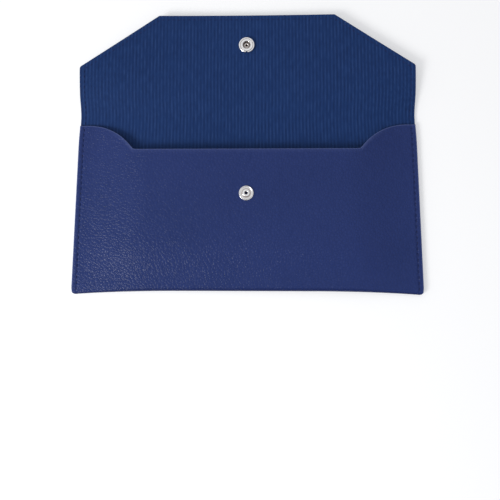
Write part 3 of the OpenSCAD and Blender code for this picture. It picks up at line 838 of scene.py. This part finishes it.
def on_socket(points):
    """Places a part on the lining side of the flap."""
    return on_flap(points + np.array([0, snap_dist, panel_t + bed]))


def on_cap(points):
    """Places a part on the leather side of the flap, where its own upward axis points down."""
    return on_flap(points * [1, 1, -1] + np.array([0, snap_dist, -bed]))


def on_front(points):
    """Places a part on the crown of the front."""
    return points + np.array([0, snap_y, pouch_t])


print(f"fastener {1000 * snap_dist:.0f} mm from the fold line")

# %% [markdown]
# The cap is a shallow dome with a rolled rim. Its rivet comes through the flap, and the press splits it
# into three petals that roll outwards over the socket's floor. Booleans could cut them, but a height that
# drops at three angles keeps the mesh clean.

# %% Cap
cap_d, cap_h, cap_rim_h, cap_rim_in, cap_roll = 10, 2.2, 0.35, 0.15, 0.12
foot, rise = cap_d / 2 - cap_rim_in, cap_h - cap_rim_h
dome_r = (foot ** 2 + rise ** 2) / (2 * rise)
lean = math.degrees(math.asin(foot / dome_r))
rolled_rim = arc(cap_d / 2 - cap_roll, cap_roll, cap_roll, -90, 90)
cap_dome = arc(0, cap_h - dome_r, dome_r, 90 - lean, 90, 24)
cap = turned("snap_cap_dome", outline([0, 0], rolled_rim, cap_dome), on_cap)
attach(cap, "flap")
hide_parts("snap_cap")

# %% Rivet end
petals, split_half, split_drop = 3, 0.07, 0.95
roll_middle, roll_size = [1.15, 0], [0.65, 0.48]
petal_r, petal_top, petal_under, shaft_out, shaft_in, shaft_low = 1.9, 0.28, 0.2, 1.3, 1.2, -0.03
brass_and_shade_radius, brass_and_shade_mark = [0.5, 0.6, 0.8, 1.4], [2, 1.2, 0.4, 0.6]
angle = np.linspace(0, 2 * np.pi, lathe_sides, endpoint=False)
on_petal = (angle / (2 * np.pi) - 0.25) * petals % 1
split = 1 - smooth((0.5 - np.abs(on_petal - 0.5)) / split_half)
roll = arc(0, 0, 1, 180, 40, 12) * roll_size + roll_middle
wall = outline([0, 0], roll, [petal_r, petal_top], [petal_r, petal_under], [shaft_out, petal_under],
               [shaft_in, shaft_low], [0, shaft_low])
r, z = wall[:, :1], wall[:, 1:] - np.clip(wall[:, 1:], 0, None) * split_drop * split
petal_points = np.stack([r * np.cos(angle), r * np.sin(angle), z], axis=-1)
# Bare brass on the petals, with painted black shade in the rivet's middle and in the splits between petals
rivet_brass_and_shade = np.interp(r / mm, brass_and_shade_radius, brass_and_shade_mark) + split
rivet = lathe("cap_rivet_end", petal_points, on_socket, rivet_brass_and_shade)
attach(rivet, "flap")
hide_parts("cap_post")

# %% [markdown]
# The socket is a cup with a ring groove in its face, a notch in its rim, and room inside for a spring
# that grips the knob. The spring is a round wire bent into an open ring. A curve with a bevel could draw
# it, but an array of rings gives closed, rounded ends.

# %% Socket
socket_r, socket_h, foot_roll, crown_roll = 4.7, 1.7, 0.2, 0.5
ring_r, ring_half, knob_hole, hole_roll = 3.72, 0.18, 2.3, 0.2
rivet_hole, room_r, room_low, room_high = 1.3, 3.4, 0.25, 1.25
cup_wall, groove_worn, groove_wear, cup_wear, notch_deep = 0.3, 0.17, 0.6, 0.7, 0.7 * mm
socket_profile = outline(
    [rivet_hole, 0],
    arc(socket_r - foot_roll, foot_roll, foot_roll, -90, 0),
    arc(socket_r - crown_roll, socket_h - crown_roll, crown_roll, 0, 90),
    arc(ring_r, socket_h, ring_half, 0, -180),
    arc(knob_hole + hole_roll, socket_h - hole_roll, hole_roll, 90, 180),
    [knob_hole, room_high], [room_r, room_high],
    [room_r, room_low], [rivet_hole, room_low])


def socket_tarnish(r, z):
    """Worn plate in the ring groove and inside the cup."""
    inside_cup = (z < socket_h - cup_wall) * (r < socket_r - cup_wall)
    return np.where(np.abs(r - ring_r) < groove_worn, groove_wear, cup_wear * inside_cup)


socket = turned("snap_socket_cup", socket_profile, on_socket, notch_deep, socket_tarnish)
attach(socket, "flap")
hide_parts("snap_socket")

# %% Ring spring
wire_r, wire_ring_r, wire_z, wire_gap = 0.2 * mm, 2.2 * mm, 1.0 * mm, 25
wire_rows, wire_sides, end_round, end_share = 61, 10, 40, 0.05
wire_turns = np.radians(np.linspace(270 + wire_gap, 630 - wire_gap, wire_rows))[:, None]
wire_round = np.linspace(0, 2 * np.pi, wire_sides, endpoint=False)[None, :]
swell = wire_r * np.sqrt(np.clip(1 - np.linspace(-1, 1, wire_rows) ** end_round, end_share, 1))[:, None]
reach = wire_ring_r + swell * np.cos(wire_round)
height = wire_z + swell * np.sin(wire_round)
ring = np.stack([reach * np.cos(wire_turns), reach * np.sin(wire_turns), height], axis=-1)
tips = np.array([[0, 1, 2, 9], [2, 3, 8, 9], [3, 4, 7, 8], [4, 5, 6, 7]])
last_tip = tips[:, ::-1] + (wire_rows - 1) * wire_sides
wire_faces = np.concatenate([grid_faces(wire_rows, wire_sides, around=True), tips, last_tip])
spring = new_piece("socket_ring_spring", on_socket(ring), wire_faces, steel)
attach(spring, "flap")
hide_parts("socket_spring")

# %% [markdown]
# The stud has a flat flange with a rolled rim and a hollow knob, and an eyelet holds it from inside the
# pocket. Both are turned too. The plate is worn round the foot of the knob and in its hole, which are
# easy to mark by their radius.

# %% Stud
stud_r, rim_r, stud_low, flange_z, flange_steps = 4.15, 0.275, 0.05, 0.35, (3.25, 2.8, 2.5)
knob_r, knob_low, knob_top, knob_roll, neck_roll = 1.85, 1.3, 1.85, 0.25, 0.3
knob_bore, bore_roll, bore_low, post_hole, hole_top = 0.95, 0.2, 1.35, 1.3, 1.2
worn_radius, worn_mark, touch = [1.3, 2.3, 2.8, 3.25, 3.5], [1, 0.8, 0.25, 0.1, 0], 0.01
stud_profile = outline(
    [post_hole, stud_low],
    arc(stud_r - rim_r, stud_low + rim_r, rim_r, -90, 140, 14),
    [[r, flange_z] for r in flange_steps],
    arc(knob_r + neck_roll, flange_z + neck_roll, neck_roll, 270, 180),
    [knob_r, knob_low], arc(knob_r, knob_top - knob_roll, knob_roll, 0, 90),
    arc(knob_bore + bore_roll, knob_top - bore_roll, bore_roll, 90, 180),
    [knob_bore, bore_low], [post_hole, hole_top])


def stud_tarnish(r, z):
    """Worn plate over the inner flange, and bare brass in the knob's hole."""
    return np.where(z < knob_low, np.interp(r, worn_radius, worn_mark), r < knob_bore + touch)


stud = turned("snap_stud_knob", stud_profile, on_front, tarnish=stud_tarnish)
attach(stud, "pouch")
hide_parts("snap_stud")

# %% Eyelet of the stud
eyelet_r, eyelet_low, eyelet_high, eyelet_roll = 3.3, -1.55, -1.2, 0.15
post_r, post_top, post_roll, post_bore = 1.2, 1.0, 0.1, 0.8
eyelet_profile = outline(
    [post_bore, eyelet_low], arc(eyelet_r - eyelet_roll, eyelet_low + eyelet_roll, eyelet_roll, -90, 0),
    [eyelet_r, eyelet_high], [post_r, eyelet_high],
    arc(post_r - post_roll, post_top - post_roll, post_roll, 0, 90), [post_bore, post_top])
eyelet = turned("stud_eyelet", eyelet_profile, on_front, tarnish=lambda r, z: r < post_bore + touch)
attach(eyelet, "pouch")
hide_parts("stud_post")

# %% [markdown]
# ## Floor, light and camera
# The wallet lies on a plain white table. More lamps could whiten it, but they would wash out the leather,
# so it shines a little of its own, only where it is seen directly or in a mirror.

# %% Table
table_half, table_gap, table_glow = 3, 0.3 * mm, 0.35
pale_grey, paler_grey, white = (0.70, 0.70, 0.70, 1), (0.72, 0.72, 0.72, 1), (1, 1, 1, 1)


def ray_kinds(tree):
    """Whether a ray comes from the camera, and whether it comes from a mirror or through glass."""
    rays = put(tree, "ShaderNodeLightPath").outputs
    return rays["Is Camera Ray"], maths(tree, "MAXIMUM", rays["Is Glossy Ray"], rays["Is Transmission Ray"])


table, tree, shader = new_material("white_table", Roughness=0.85, Specular_IOR_Level=0.1,
                                   Emission_Color=white)
drift = use_group(tree, tone, Patch_size=300 * mm)
feed(shader, "Base Color", mix_colour(drift["Patches"], pale_grey, paler_grey))
shown = maths(tree, "MAXIMUM", *ray_kinds(tree))
feed(shader, "Emission Strength", times(shown, table_glow))
corner_signs = ((-1, -1), (1, -1), (1, 1), (-1, 1))
table_corners = [(x * table_half, y * table_half, -table_gap) for x, y in corner_signs]
floor_mesh = bpy.data.meshes.new("table_top")
floor_mesh.from_pydata(table_corners, [], [(0, 1, 2, 3)])
floor_mesh.materials.append(table)
floor = new_object("table_top", floor_mesh)
print(f"table {2 * table_half} m wide")

# %% [markdown]
# The light is soft: a pale sky that is weaker on the right, and one soft lamp at the lower left that lays
# a gentle sheen on the leather. A picture of a studio could give the metal something to mirror, but
# colours by direction need no file: mirrors see a room that is bright overhead and dark in front.

# %% Sky and room
sky_low, sky_high, sky_right = (0.66, 0.67, 0.69, 1), (0.84, 0.85, 0.87, 1), (0.55, 0.55, 0.57, 1)
room_low, room_right, room_front = (0.50, 0.52, 0.57, 1), (0.66, 0.66, 0.69, 1), (0.05, 0.045, 0.07, 1)
backdrop = (0.95, 0.95, 0.96, 1)
world = bpy.data.worlds.new("studio")
bpy.context.scene.world = world
world.use_nodes = True
tree = world.node_tree
direction = put(tree, "ShaderNodeTexCoord").outputs["Generated"]
towards = put(tree, "ShaderNodeSeparateXYZ", Vector=direction).outputs
to_right = between(towards["X"], 0, 1, -0.8, 0.8)
to_front = between(towards["Y"], 1, 0, -0.80, -0.45)
sky = mix_colour(between(towards["Z"], 0, 1, 0.1, 0.95), sky_low, sky_high)
sky = mix_colour(to_right, sky, sky_right, "MULTIPLY")
room = mix_colour(between(towards["Z"], 0, 1, 0.0, 0.6), room_low, white)
room = mix_colour(to_right, room, room_right, "MULTIPLY")
room = mix_colour(to_front, room, room_front, "MULTIPLY")
from_camera, mirrored = ray_kinds(tree)
studio = mix_colour(mirrored, sky, room)
studio = mix_colour(from_camera, studio, backdrop)
feed(tree.nodes["Background"], "Color", studio)
bpy.context.scene.view_settings.view_transform = "Standard"
print("sky and room made of", len(tree.nodes), "nodes")

# %% Lamp
lamp_place, lamp_aim, lamp_size, lamp_power = (-0.49, -0.32, 0.46), (0, 0.02, 0), 0.26, 3.25
lamp = bpy.data.lights.new("window_lamp", "AREA")
lamp.size = lamp_size
lamp.energy = lamp_power
lamp_stand = new_object("window_lamp", lamp)
lamp_stand.location = lamp_place
lamp_stand.rotation_mode = "QUATERNION"
lamp_stand.rotation_quaternion = (Vector(lamp_aim) - Vector(lamp_place)).to_track_quat("-Z", "Y")
print(f"lamp {100 * lamp_size:.0f} cm wide, {100 * Vector(lamp_place).length:.0f} cm away")

# %% [markdown]
# The camera looks almost straight down with a short lens, which spreads the near edge. A place and a
# rotation could be set by hand, but three angles and a distance say more. The lens is shifted, because
# the wallet is not in the middle of the picture.

# %% Camera
turn, lift_up, roll = math.radians(8.62), math.radians(80.36), math.radians(-8.68)
look, distance, focal_px, image_px = Vector((1.95 * mm, 28.88 * mm, 0)), 332.64 * mm, 572.4, 500
flat_share = math.cos(lift_up)
back = Vector((math.sin(turn) * flat_share, -math.cos(turn) * flat_share, math.sin(lift_up)))
right = (-back).cross(Vector((0, 0, 1))).normalized()
up = right.cross(-back)
across_image = right * math.cos(roll) + up * math.sin(roll)
up_image = up * math.cos(roll) - right * math.sin(roll)
eye = look + back * distance
lens = bpy.data.cameras.new("camera")
lens.sensor_width = 36
lens.lens = focal_px / image_px * lens.sensor_width
lens.shift_y = -0.19
lens.clip_start = 10 * mm
camera = new_object("camera", lens)
camera.matrix_world = Matrix((*zip(across_image, up_image, back, eye), (0, 0, 0, 1)))
bpy.context.scene.camera = camera
print(f"camera {1000 * eye.z:.0f} mm above the table, lens {lens.lens:.1f} mm")
